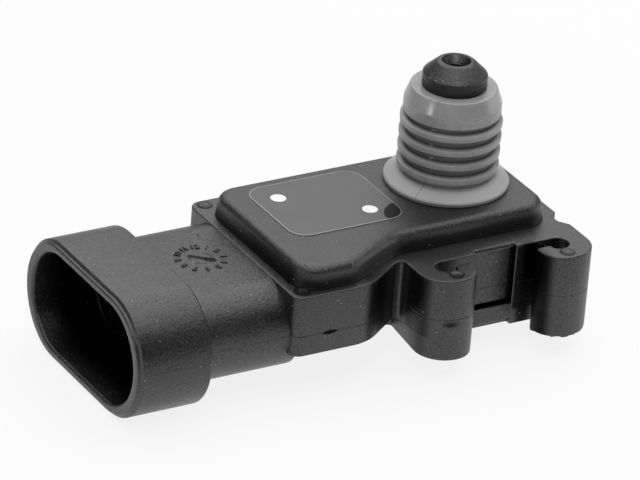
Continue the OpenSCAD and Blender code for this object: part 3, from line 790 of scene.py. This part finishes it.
    def socket(self, s, p):
        """The socket's wall as one section, from its floor out over the mouth and back along the
        collar and neck into the body."""
        mouth = HOUSING_LOW.x
        outer = p.collar_h / 2
        inner = outer - p.wall
        neck = outer - p.neck_step
        deep = neck - p.neck_wall
        ledge = mouth + p.depth
        floor = ledge + p.tail
        back = mouth + p.collar_len
        tiny = 0.02 * MM
        end = s.body_x0 + 1.5 * MM
        section = [[tiny, floor, 0.001 * MM], [deep, floor, 0.3 * MM], [deep, ledge, 0.2 * MM],
                   [inner, ledge, 0.4 * MM], [inner, mouth, 0.5 * MM],
                   [outer - 0.5 * MM, mouth, 0.25 * MM],
                   [outer - 0.4 * MM, mouth + 0.42 * MM, 0.08 * MM],
                   [outer, mouth + 0.62 * MM, 0.2 * MM],
                   [outer, back, 0.35 * MM], [neck, back, 0.3 * MM],
                   [neck, end, 0.001 * MM], [tiny, end, 0.001 * MM]]
        steps = 5
        profile = round_corners(section, 0, steps)
        straight = p.collar_w - p.collar_h
        hollow = straight - 2 * (p.end_wall - p.wall)
        neck_z = p.middle_z + p.neck_rise
        lengths = [straight] * 3 + [hollow] * 2 + [straight] * 7
        heights = [neck_z] * 3 + [p.middle_z] * 6 + [neck_z] * 3
        return race(profile, np.repeat(lengths, steps + 1), p.middle_y,
                    np.repeat(heights, steps + 1))


def numeral_grid(text, size, height):
    """The points and faces of one raised numeral, lying in the XY plane about its own middle."""
    curve = bpy.data.curves.new("numeral", "FONT")
    curve.body = text
    curve.size = size
    curve.align_x = "CENTER"
    curve.align_y = "CENTER"
    curve.extrude = height
    curve.offset = 0.03 * size
    curve.resolution_u = 2
    holder = bpy.data.objects.new("numeral", curve)
    bpy.context.scene.collection.objects.link(holder)
    mesh = bpy.data.meshes.new_from_object(holder)
    points = np.array([vertex.co for vertex in mesh.vertices], float)
    faces = [list(polygon.vertices) for polygon in mesh.polygons]
    bpy.data.objects.remove(holder)
    bpy.data.curves.remove(curve)
    bpy.data.meshes.remove(mesh)
    return points, faces


class SENSOR_OT_marks(bpy.types.Operator):
    """Make the moulded date wheel on the socket's neck"""
    bl_idname = "sensor.marks"
    bl_label = "Moulded marks"

    def execute(self, context):
        p = context.scene.sensor_socket
        top = p.middle_z + p.neck_rise + p.collar_h / 2 - p.neck_step
        skin = Skin()
        size, rise, radius = 1.3 * MM, 0.11 * MM, 3.05 * MM
        wheel = np.array([p.wheel_x, p.wheel_y, top])
        for k in range(12):
            turn = p.wheel_turn - 2 * math.pi * k / 12
            points, faces = numeral_grid(str(k + 1), size, rise)
            c, n = math.cos(turn - math.pi / 2), math.sin(turn - math.pi / 2)
            points[:, :2] = points[:, :2] @ np.array([[c, n], [-n, c]])
            points[:, :2] += radius * np.array([math.cos(turn), math.sin(turn)])
            skin.add_mesh(points + wheel, faces)
        material = plain_finish("moulded_marks", context.scene.sensor_colours.plastic, 0.42)
        skin.make("date_wheel", material, None, 50)
        return {"FINISHED"}


class SENSOR_OT_cover(bpy.types.Operator):
    """Make the cover with its rounded upper edge and its nozzle"""
    bl_idname = "sensor.cover"
    bl_label = "Cover"

    def execute(self, context):
        s = context.scene.sensor_cover
        flange = context.scene.sensor_housing.flange_z
        corners = [[s.x0, s.y0, s.corner_r], [s.bend_x0, s.y0, s.bend_r],
                   [s.bend_x1, s.y1, s.bend_r], [s.x1, s.y1, s.corner_r],
                   [s.x1, s.y2, s.corner_r], [s.x0, s.y2, s.corner_r]]
        skin = Skin()
        levels = [(flange - 0.02 * MM, 0.0), (flange + 0.12 * MM, 0.0),
                  (flange + 0.2 * MM, 0.08 * MM)]
        levels += round_edge(flange, 0, s.edge_r, s.draft, 9, 0.6 * MM)
        skin.add(stack(corners, levels, 16))
        top = COVER_HIGH.z
        head_z = SEAL_HIGH.z + 0.01 * MM
        section = [[s.passage_r, -0.2 * MM, 0.001 * MM], [s.stem_r, -0.2 * MM, 0.001 * MM],
                   [s.stem_r, head_z, 0.02 * MM], [s.head_r, head_z, 0.05 * MM],
                   [s.head_r, top - s.cone_h, 0.3 * MM], [s.tip_r, top, 1.1 * MM],
                   [s.sink_r, top, 0.1 * MM], [s.passage_r, top - s.sink_h, 0.15 * MM]]
        skin.add(lathe(round_corners(section, 0, 6)), ring=True)
        everywhere = (-1.0, 1.0)
        head_span = (-s.head_r - MM, s.head_r + MM)
        # Boxes of painted shade on the narrow front, the band round the foot and the nozzle's head.
        painted_shade_boxes = (
            # The narrow front.
            ((s.bend_x1 + 2 * MM, s.x1 - 2 * MM), (s.y1 - MM, s.y1 + 0.5 * MM),
             (flange, flange + 1.2 * MM), 0.8 * MM, 0.7),
            # A band round the foot.
            (everywhere, everywhere, (flange + 0.25 * MM, flange + 0.7 * MM), 1.5 * MM, 0.75),
            # The nozzle's head.
            (head_span, head_span, (SEAL_HIGH.z, top - s.cone_h - 0.1 * MM), 0.1 * MM, 0.55))
        material = moulded_plastic("cover_plastic", context.scene.sensor_colours.cover, 0.42,
                                   polish=(s.sink_r, top - s.sink_h), painted_shade_boxes=painted_shade_boxes)
        skin.make("cover_shell", material, "cover")
        return {"FINISHED"}


class SENSOR_OT_seal(bpy.types.Operator):
    """Make the ribbed rubber seal"""
    bl_idname = "sensor.seal"
    bl_label = "Port seal"

    def execute(self, context):
        s = context.scene.sensor_seal
        bore = context.scene.sensor_cover.stem_r + 0.02 * MM
        foot_r = SEAL_HIGH.x
        ribs = []
        for k in range(s.rib_count):
            z = s.rib_z - k * s.rib_pitch
            ribs += [[s.groove_r, z + 0.3 * MM, 0.12 * MM], [s.rib_r, z, 0.1 * MM],
                     [s.rib_r - 0.04 * MM, z - s.rib_h, 0.12 * MM],
                     [s.groove_r, z - s.rib_h - 0.16 * MM, 0.12 * MM]]
        last = s.rib_z - (s.rib_count - 1) * s.rib_pitch - s.rib_h
        section = [[bore, 0, 0.02 * MM], [bore, SEAL_HIGH.z, 0.1 * MM],
                   [s.top_r, SEAL_HIGH.z, 0.25 * MM], [s.band_r, s.band_z + s.band_h, 0.9 * MM],
                   [s.band_r, s.band_z, 0.12 * MM], [s.groove_r, s.band_z - 0.15 * MM, 0.12 * MM]]
        section += ribs + [[s.groove_r, last - 0.65 * MM, 0.3 * MM], [foot_r, s.rim_h, 0.5 * MM],
                           [foot_r, 0, 0.15 * MM]]
        skin = Skin()
        skin.add(lathe(round_corners(section[::-1], 0, 5), 180), ring=True)
        material = seal_rubber(context.scene.sensor_colours.rubber, last - 0.4 * MM, s.band_z,
                               s.groove_r, s.rim_h)
        skin.make("ribbed_seal", material, "port_seal")
        return {"FINISHED"}


class SENSOR_OT_label(bpy.types.Operator):
    """Make the label and its two paint marks"""
    bl_idname = "sensor.label"
    bl_label = "Label"

    def execute(self, context):
        colours = context.scene.sensor_colours
        corner = 2.5 * MM
        low, high = LABEL_LOW, LABEL_HIGH
        skin = Skin()
        edge = 0.05 * MM
        skin.add(stack(rectangle(low.x, low.y, high.x, high.y, corner),
                       [(0.0, 0), (high.z - edge, 0), (high.z - 0.3 * edge, 0.3 * edge),
                        (high.z, edge), (high.z, 0.3 * MM)], 12))
        skin.make("label_sheet", label_film(colours.label, low, high, corner), "label")
        marks_low, marks_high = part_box("paint_marks")
        r = 1.05 * MM
        skin = Skin()
        for x, y in ((marks_low.x + r, marks_high.y - r), (marks_high.x - r, marks_low.y + r)):
            z = marks_high.z
            dome = np.array([[r, high.z], [r, z - 0.03 * MM], [r * 0.96, z - 0.01 * MM],
                             [r * 0.85, z], [r * 0.02, z]])
            skin.add(lathe(dome, 48) + [x, y, 0])
        skin.make("white_marks", plain_finish("mark_paint", colours.paint, 0.35), "paint_marks")
        return {"FINISHED"}


# Finishes of the pieces inside: colour, roughness, metallic and grain size.
INNER_FINISHES = {
    "terminal_metal": ((0.62, 0.62, 0.6), 0.28, 1.0, 0.4 * MM),
    "sealant": ((0.1, 0.1, 0.11), 0.5, 0.0, 0.5 * MM),
    "board_ceramic": ((0.82, 0.82, 0.79), 0.6, 0.0, 0.2 * MM),
    "adhesive": ((0.3, 0.3, 0.32), 0.45, 0.0, 0.5 * MM),
    "wire_aluminium": ((0.85, 0.85, 0.86), 0.3, 1.0, 0.1 * MM),
    "base_glass": ((0.75, 0.84, 0.8), 0.15, 0.0, 0.5 * MM),
    "die_silicon": ((0.16, 0.18, 0.24), 0.12, 0.6, 0.4 * MM),
    "wire_gold": ((0.92, 0.7, 0.28), 0.25, 1.0, 0.1 * MM),
    "dam_plastic": ((0.05, 0.05, 0.055), 0.5, 0.0, 0.2 * MM),
    "gel": ((0.7, 0.73, 0.76), 0.1, 0.0, 2 * MM),
    "chip_plastic": ((0.03, 0.03, 0.03), 0.55, 0.0, 0.15 * MM),
    "capacitor_ceramic": ((0.5, 0.38, 0.24), 0.5, 0.0, 0.15 * MM),
    "resistor_film": ((0.04, 0.06, 0.045), 0.4, 0.0, 0.3 * MM),
}


class SENSOR_OT_inner(bpy.types.Operator):
    """Give the terminals and the pieces inside the housing their finishes"""
    bl_idname = "sensor.inner"
    bl_label = "Terminals and inner pieces"

    def execute(self, context):
        slots = {part["node"]: part["material_slot"] for part in frame["record"]["subparts"]}
        made = {}
        for name, node in frame["nodes"].items():
            slot = slots[name]
            if slot not in INNER_FINISHES:
                continue
            if slot not in made:
                base, roughness, metallic, grain = INNER_FINISHES[slot]
                made[slot] = plain_finish(slot, base, roughness, metallic, grain)
            for place in node.material_slots:
                place.material = made[slot]
        return {"FINISHED"}


# Lamps: name, place, size and power. Each stands where a face of the sensor mirrors it.
LAMPS = (("overhead", (0.12, 0.18, 0.75), 1.4, 10.8),
         ("backdrop", (0.27, 0.56, 0.30), 0.5, 0.6),
         ("right", (0.50, -0.14, 0.08), 0.3, 0.5),
         ("front", (-0.20, -0.32, 0.53), 0.12, 0.6),
         ("left", (-0.60, -0.065, 0.13), 0.07, 0.4))


class SENSOR_OT_stage(bpy.types.Operator):
    """Set up the pale floor, the soft light and the camera"""
    bl_idname = "sensor.stage"
    bl_label = "Stage"

    def execute(self, context):
        s = context.scene.sensor_stage
        self.floor(context)
        self.world(context)
        target = Vector((s.target_x, s.target_y, 0))
        for name, place, size, power in LAMPS:
            self.lamp(context, name, place, size, power, target)
        self.camera(context, s, target)
        context.scene.view_settings.view_transform = "Standard"
        return {"FINISHED"}

    def floor(self, context):
        """A floor that lights the sensor as a matt sheet does and looks nearly white."""
        mesh = bpy.data.meshes.new("floor")
        half = 3.0
        z = HOUSING_LOW.z - 0.05 * MM
        mesh.from_pydata([(-half, -half, z), (half, -half, z), (half, half, z), (-half, half, z)],
                         [], [(0, 1, 2, 3)])
        finish = Finish("pale_floor")
        base = tuple(context.scene.sensor_colours.floor) + (1.0,)
        finish.set(Base_Color=base, Roughness=0.9, Specular_IOR_Level=0.1)
        glow = finish.node("ShaderNodeEmission", "Emission", Color=WHITE, Strength=1.0)
        camera_ray = finish.node("ShaderNodeLightPath", "Is Camera Ray")
        glossy_ray = finish.node("ShaderNodeLightPath", "Is Glossy Ray")
        self.mix_shaders(finish.tree, camera_ray.most(glossy_ray) * 0.85,
                         finish.shader.outputs[0], glow.socket, "Material Output")
        mesh.materials.append(finish.material)
        floor = bpy.data.objects.new("floor", mesh)
        context.scene.collection.objects.link(floor)

    def world(self, context):
        """Dim white light all round, which the camera sees as plain white."""
        world = bpy.data.worlds.new("soft_white")
        context.scene.world = world
        world.use_nodes = True
        tree = world.node_tree
        light = tree.nodes["Background"]
        shown = tree.nodes.new("ShaderNodeBackground")
        for background, strength in ((light, 0.07), (shown, 1.0)):
            background.inputs[0].default_value = WHITE
            background.inputs[1].default_value = strength
        camera_ray = tree.nodes.new("ShaderNodeLightPath").outputs["Is Camera Ray"]
        self.mix_shaders(tree, Value(tree, camera_ray), light.outputs[0], shown.outputs[0],
                         "World Output")

    def mix_shaders(self, tree, factor, first, second, output):
        """Joins two shaders by a factor and leads the mix to a tree's output."""
        mix = tree.nodes.new("ShaderNodeMixShader")
        connect(tree, mix.inputs[0], factor)
        tree.links.new(first, mix.inputs[1])
        tree.links.new(second, mix.inputs[2])
        tree.links.new(mix.outputs[0], tree.nodes[output].inputs[0])

    def lamp(self, context, name, place, size, power, target):
        data = bpy.data.lights.new(name, "AREA")
        data.size = size
        data.energy = power
        lamp = bpy.data.objects.new(name, data)
        lamp.location = Vector(place)
        lamp.rotation_euler = (target - lamp.location).to_track_quat("-Z", "Y").to_euler()
        context.scene.collection.objects.link(lamp)

    def camera(self, context, s, target):
        """The camera looks at its target from the azimuth and elevation, then rolls."""
        back = Vector((math.sin(s.azimuth) * math.cos(s.elevation),
                       -math.cos(s.azimuth) * math.cos(s.elevation), math.sin(s.elevation)))
        right = Vector((0, 0, 1)).cross(back).normalized()
        up = back.cross(right)
        c, t = math.cos(s.roll), math.sin(s.roll)
        right, up = c * right + t * up, c * up - t * right
        data = bpy.data.cameras.new("camera")
        data.lens = s.lens
        data.sensor_width = 36
        data.sensor_fit = "HORIZONTAL"
        data.clip_start = 0.01
        camera = bpy.data.objects.new("camera", data)
        camera.matrix_world = Matrix.Translation(target + s.distance * back) @ Matrix(
            (right, up, back)).transposed().to_4x4()
        context.scene.collection.objects.link(camera)
        context.scene.camera = camera


OPERATORS = (SENSOR_OT_housing, SENSOR_OT_marks, SENSOR_OT_cover, SENSOR_OT_seal, SENSOR_OT_label,
             SENSOR_OT_inner, SENSOR_OT_stage)


class SENSOR_PT_panel(bpy.types.Panel):
    """Lists the sensor's pieces in the sidebar"""
    bl_idname = "SENSOR_PT_panel"
    bl_label = "Pressure sensor"
    bl_space_type = "VIEW_3D"
    bl_region_type = "UI"
    bl_category = "Sensor"

    def draw(self, context):
        for operator in OPERATORS:
            self.layout.operator(operator.bl_idname)


GROUPS = {"sensor_housing": HousingSizes, "sensor_socket": SocketSizes,
          "sensor_cover": CoverSizes, "sensor_seal": SealSizes,
          "sensor_colours": FinishColours, "sensor_stage": StageSettings}


def register():
    for name, group in GROUPS.items():
        bpy.utils.register_class(group)
        setattr(bpy.types.Scene, name, PointerProperty(type=group))
    for cls in OPERATORS + (SENSOR_PT_panel,):
        bpy.utils.register_class(cls)


def unregister():
    for cls in (SENSOR_PT_panel,) + OPERATORS[::-1]:
        bpy.utils.unregister_class(cls)
    for name, group in GROUPS.items():
        delattr(bpy.types.Scene, name)
        bpy.utils.unregister_class(group)


def main():
    register()
    for name in ("housing", "marks", "cover", "seal", "label", "inner", "stage"):
        getattr(bpy.ops.sensor, name)()


if __name__ == "__main__":
    main()
